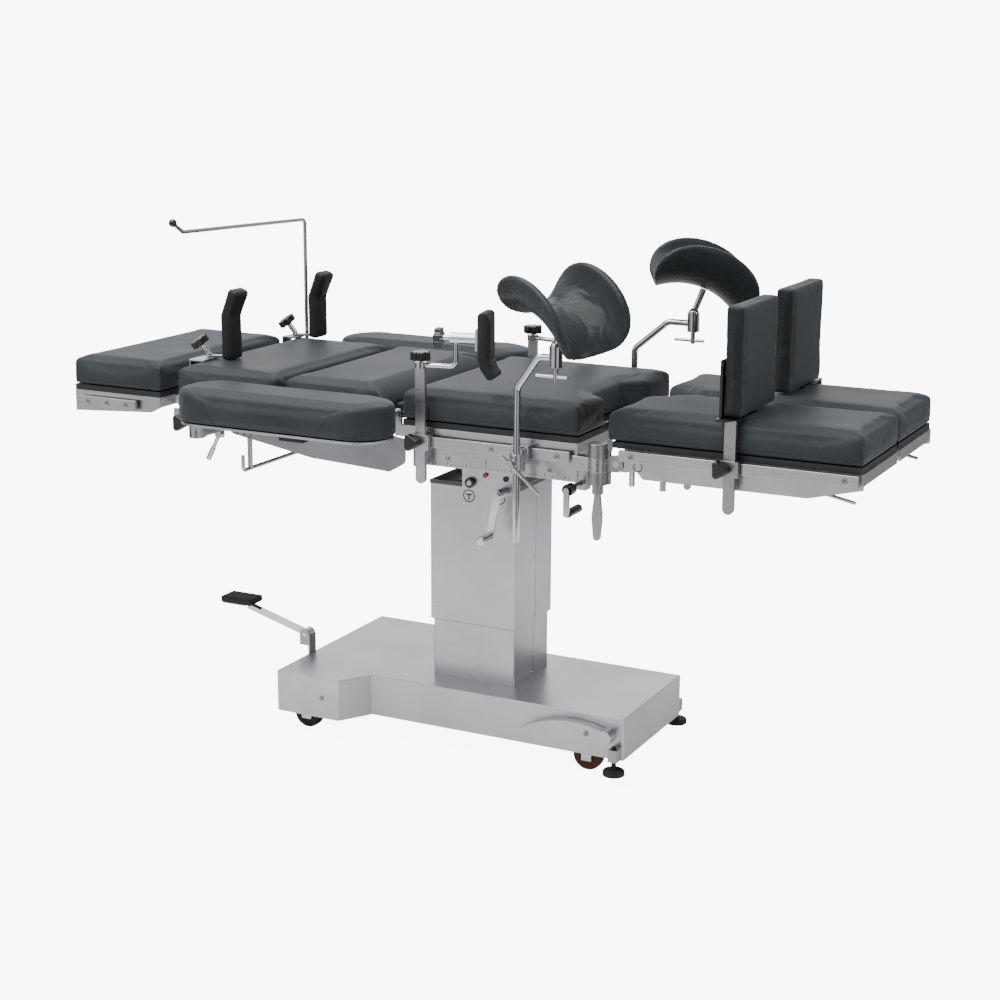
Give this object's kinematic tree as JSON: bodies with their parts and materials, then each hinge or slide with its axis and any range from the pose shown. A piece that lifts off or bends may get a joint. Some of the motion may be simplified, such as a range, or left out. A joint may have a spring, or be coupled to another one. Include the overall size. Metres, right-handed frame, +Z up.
{
  "type": "hydraulic operating table",
  "caption": "Hydraulic operating table with sectioned padded top, telescopic column on a wheeled base, arm boards, supports, leg holders and foot boards.",
  "frame": {"origin": "on the floor below the centre line of the lifting column", "axes": "+X along the table towards the foot end, +Y to the far side, +Z up"},
  "size_m": [2.063, 0.996, 1.272],
  "materials": {
    "brushed_steel": "brushed stainless steel",
    "machined_steel": "machined steel",
    "dark_steel": "painted steel, satin black",
    "chrome": "polished chrome",
    "black_plastic": "glossy black plastic",
    "wheel_rubber": "matt rubber",
    "foot_rubber": "matt rubber",
    "cushion_leather": "charcoal matt coated fabric over foam"
  },
  "bodies": {
    "base": {"base_cover": "brushed_steel", "base_chassis": "dark_steel", "lower_column_sleeve": "brushed_steel", "guide_tube": "machined_steel", "lift_cylinder": "machined_steel", "hydraulic_pump": "dark_steel", "pedal_mounts": "brushed_steel", "fixed_caster_forks": "chrome"},
    "near_fork": {"near_caster_fork": "chrome"},
    "far_fork": {"far_caster_fork": "chrome"},
    "near_wheel": {"near_swivel_wheel": "wheel_rubber"},
    "far_wheel": {"far_swivel_wheel": "wheel_rubber"},
    "rear_wheels": {"fixed_wheels": "wheel_rubber"},
    "pump_lever": {"pump_pedal": "chrome"},
    "brake_lever": {"brake_pedal": "brushed_steel"},
    "brake_pads": {"brake_feet": "foot_rubber"},
    "lift": {"upper_column_sleeve": "brushed_steel", "moving_column": "machined_steel", "piston_rod": "chrome", "column_head": "machined_steel"},
    "tilt": {"tilt_cross": "machined_steel", "control_panel": "brushed_steel"},
    "selector": {"selector_knob": "black_plastic"},
    "crank": {"main_crank": "chrome"},
    "grip": {"crank_grip": "black_plastic"},
    "saddle": {"slide_carriage": "machined_steel"},
    "seat": {"seat_frame": "brushed_steel", "seat_cushion": "cushion_leather", "seat_side_rails": "brushed_steel"},
    "bridge": {"kidney_bridge": "chrome"},
    "bridge_handle": {"bridge_crank": "chrome"},
    "back": {"back_frame": "brushed_steel", "back_side_rails": "brushed_steel", "back_side_covers": "brushed_steel", "chest_cushion": "cushion_leather", "loin_cushion": "cushion_leather"},
    "back_release": {"back_lever": "chrome"},
    "head": {"head_frame": "brushed_steel", "head_cushion": "cushion_leather"},
    "near_arm": {"near_arm_board": "cushion_leather"},
    "far_arm": {"far_arm_board": "cushion_leather"},
    "near_shoulder": {"near_shoulder_support": "chrome"},
    "far_shoulder": {"far_shoulder_support": "chrome"},
    "screen": {"screen_rod": "chrome"},
    "near_post": {"near_support_post": "chrome"},
    "far_post": {"far_support_post": "chrome"},
    "near_side_support": {"near_support_arm": "chrome"},
    "far_side_support": {"far_support_arm": "chrome"},
    "near_holder": {"near_holder_rod": "chrome"},
    "far_holder": {"far_holder_rod": "chrome"},
    "near_trough": {"near_holder_pad": "cushion_leather"},
    "far_trough": {"far_holder_pad": "cushion_leather"},
    "near_knuckle": {"near_leg_knuckle": "chrome"},
    "near_leg": {"near_leg_frame": "brushed_steel", "near_leg_cushion": "cushion_leather"},
    "near_foot": {"near_foot_board": "chrome"},
    "far_knuckle": {"far_leg_knuckle": "chrome"},
    "far_leg": {"far_leg_frame": "brushed_steel", "far_leg_cushion": "cushion_leather"},
    "far_foot": {"far_foot_board": "chrome"}
  },
  "joints": [
    {"name": "near_caster_swivel", "type": "hinge", "parent": "base", "child": "near_fork", "pos_m": [-0.398, -0.194, 0.09], "axis": [0, 0, 1], "continuous": true},
    {"name": "near_wheel_spin", "type": "hinge", "parent": "near_fork", "child": "near_wheel", "pos_m": [-0.416, -0.194, 0.0375], "axis": [0, 1, 0], "continuous": true},
    {"name": "far_caster_swivel", "type": "hinge", "parent": "base", "child": "far_fork", "pos_m": [-0.398, 0.194, 0.09], "axis": [0, 0, 1], "continuous": true},
    {"name": "far_wheel_spin", "type": "hinge", "parent": "far_fork", "child": "far_wheel", "pos_m": [-0.416, 0.194, 0.0375], "axis": [0, 1, 0], "continuous": true},
    {"name": "rear_wheels_spin", "type": "hinge", "parent": "base", "child": "rear_wheels", "pos_m": [0.331, 0, 0.0375], "axis": [0, 1, 0], "continuous": true},
    {"name": "pump_pedal", "type": "hinge", "parent": "base", "child": "pump_lever", "pos_m": [-0.486, -0.09, 0.206], "axis": [0, -1, 0], "range_deg": [0, 25], "stiffness_Nm_per_rad": 8, "springref_deg": -28.65},
    {"name": "brake_pedal", "type": "hinge", "parent": "base", "child": "brake_lever", "pos_m": [0.402, 0, 0.114], "axis": [0, -1, 0], "range_deg": [0, 20]},
    {"name": "brake_feet", "type": "slide", "parent": "base", "child": "brake_pads", "axis": [0, 0, 1], "range_m": [-0.025, 0]},
    {"name": "column_lift", "type": "slide", "parent": "base", "child": "lift", "axis": [0, 0, 1], "range_m": [-0.14, 0.1]},
    {"name": "trendelenburg", "type": "hinge", "parent": "lift", "child": "tilt", "pos_m": [0, 0, 0.7], "axis": [0, 1, 0], "range_deg": [-25, 25]},
    {"name": "mode_selector", "type": "hinge", "parent": "tilt", "child": "selector", "pos_m": [0.001, -0.112, 0.664], "axis": [0, 1, 0], "range_deg": [-60, 60]},
    {"name": "main_crank", "type": "hinge", "parent": "tilt", "child": "crank", "pos_m": [0.092, -0.112, 0.65], "axis": [0, 1, 0], "range_deg": [-360, 360]},
    {"name": "crank_grip_spin", "type": "hinge", "parent": "crank", "child": "grip", "pos_m": [0.07573, -0.16, 0.54728], "axis": [0, 1, 0], "continuous": true},
    {"name": "lateral_tilt", "type": "hinge", "parent": "tilt", "child": "saddle", "pos_m": [0, 0, 0.7], "axis": [1, 0, 0], "range_deg": [-20, 20]},
    {"name": "table_slide", "type": "slide", "parent": "saddle", "child": "seat", "axis": [1, 0, 0], "range_m": [-0.16, 0.1]},
    {"name": "kidney_bridge_lift", "type": "slide", "parent": "seat", "child": "bridge", "axis": [0, 0, 1], "range_m": [0, 0.11]},
    {"name": "bridge_crank", "type": "hinge", "parent": "seat", "child": "bridge_handle", "pos_m": [0.312, -0.2, 0.705], "axis": [0, 1, 0], "range_deg": [0, 1800]},
    {"name": "back_section", "type": "hinge", "parent": "seat", "child": "back", "pos_m": [-0.112, 0, 0.848], "axis": [0, -1, 0], "range_deg": [-60, 15]},
    {"name": "back_release", "type": "hinge", "parent": "back", "child": "back_release", "pos_m": [-0.609, -0.274, 0.752], "axis": [0, 1, 0], "range_deg": [-15, 20]},
    {"name": "head_section", "type": "hinge", "parent": "back", "child": "head", "pos_m": [-0.762, 0, 0.818], "axis": [0, 1, 0], "range_deg": [-90, 25]},
    {"name": "near_leg_swing", "type": "hinge", "parent": "seat", "child": "near_knuckle", "pos_m": [0.405, -0.275, 0.785], "axis": [0, 0, -1], "range_deg": [0, 90]},
    {"name": "near_leg_fold", "type": "hinge", "parent": "near_knuckle", "child": "near_leg", "pos_m": [0.446, -0.27, 0.787], "axis": [0, -1, 0], "range_deg": [-90, 10]},
    {"name": "near_foot_board_slide", "type": "slide", "parent": "near_leg", "child": "near_foot", "axis": [1, 0, 0], "range_m": [-0.15, 0.2]},
    {"name": "near_arm_board_swing", "type": "hinge", "parent": "back", "child": "near_arm", "pos_m": [-0.575, -0.4145, 0.8], "axis": [0, 0, -1], "range_deg": [0, 90]},
    {"name": "near_shoulder_swing", "type": "hinge", "parent": "back", "child": "near_shoulder", "pos_m": [-0.712, -0.165, 0.92], "axis": [0, 0, 1], "range_deg": [-25, 35]},
    {"name": "near_side_support_slide", "type": "slide", "parent": "seat", "child": "near_post", "axis": [1, 0, 0], "range_m": [0, 0.06]},
    {"name": "near_side_support_swing", "type": "hinge", "parent": "near_post", "child": "near_side_support", "pos_m": [-0.034, -0.2932, 0.965], "axis": [0, 0, 1], "range_deg": [-15, 15]},
    {"name": "near_holder_height", "type": "slide", "parent": "seat", "child": "near_holder", "axis": [0, 0, 1], "range_m": [-0.1, 0.1]},
    {"name": "near_trough_turn", "type": "hinge", "parent": "near_holder", "child": "near_trough", "pos_m": [0.316, -0.312, 1.046], "axis": [0, 0, 1], "range_deg": [-20, 20]},
    {"name": "far_leg_swing", "type": "hinge", "parent": "seat", "child": "far_knuckle", "pos_m": [0.405, 0.275, 0.785], "axis": [0, 0, 1], "range_deg": [0, 90]},
    {"name": "far_leg_fold", "type": "hinge", "parent": "far_knuckle", "child": "far_leg", "pos_m": [0.446, 0.27, 0.787], "axis": [0, -1, 0], "range_deg": [-90, 10]},
    {"name": "far_foot_board_slide", "type": "slide", "parent": "far_leg", "child": "far_foot", "axis": [1, 0, 0], "range_m": [-0.15, 0.2]},
    {"name": "far_arm_board_swing", "type": "hinge", "parent": "back", "child": "far_arm", "pos_m": [-0.635, 0.4145, 0.8], "axis": [0, 0, 1], "range_deg": [0, 90]},
    {"name": "far_shoulder_swing", "type": "hinge", "parent": "back", "child": "far_shoulder", "pos_m": [-0.712, 0.23, 0.92], "axis": [0, 0, 1], "range_deg": [-25, 25]},
    {"name": "far_side_support_slide", "type": "slide", "parent": "seat", "child": "far_post", "axis": [1, 0, 0], "range_m": [0, 0.06]},
    {"name": "far_side_support_swing", "type": "hinge", "parent": "far_post", "child": "far_side_support", "pos_m": [-0.034, 0.2932, 0.965], "axis": [0, 0, 1], "range_deg": [-15, 15]},
    {"name": "far_holder_height", "type": "slide", "parent": "seat", "child": "far_holder", "axis": [0, 0, 1], "range_m": [-0.1, 0.1]},
    {"name": "far_trough_turn", "type": "hinge", "parent": "far_holder", "child": "far_trough", "pos_m": [0.394, 0.312, 1.046], "axis": [0, 0, 1], "range_deg": [-20, 20]},
    {"name": "screen_rod_turn", "type": "hinge", "parent": "back", "child": "screen", "pos_m": [-0.718, 0.296, 0.9], "axis": [0, 0, 1], "range_deg": [-90, 30]}
  ],
  "couplings": [
    {"joint": "brake_feet", "follows": "brake_pedal", "m_per_rad": -0.0716},
    {"joint": "main_crank", "follows": "lateral_tilt", "ratio": 17.99},
    {"joint": "bridge_crank", "follows": "kidney_bridge_lift", "rad_per_m": 285.6}
  ]
}
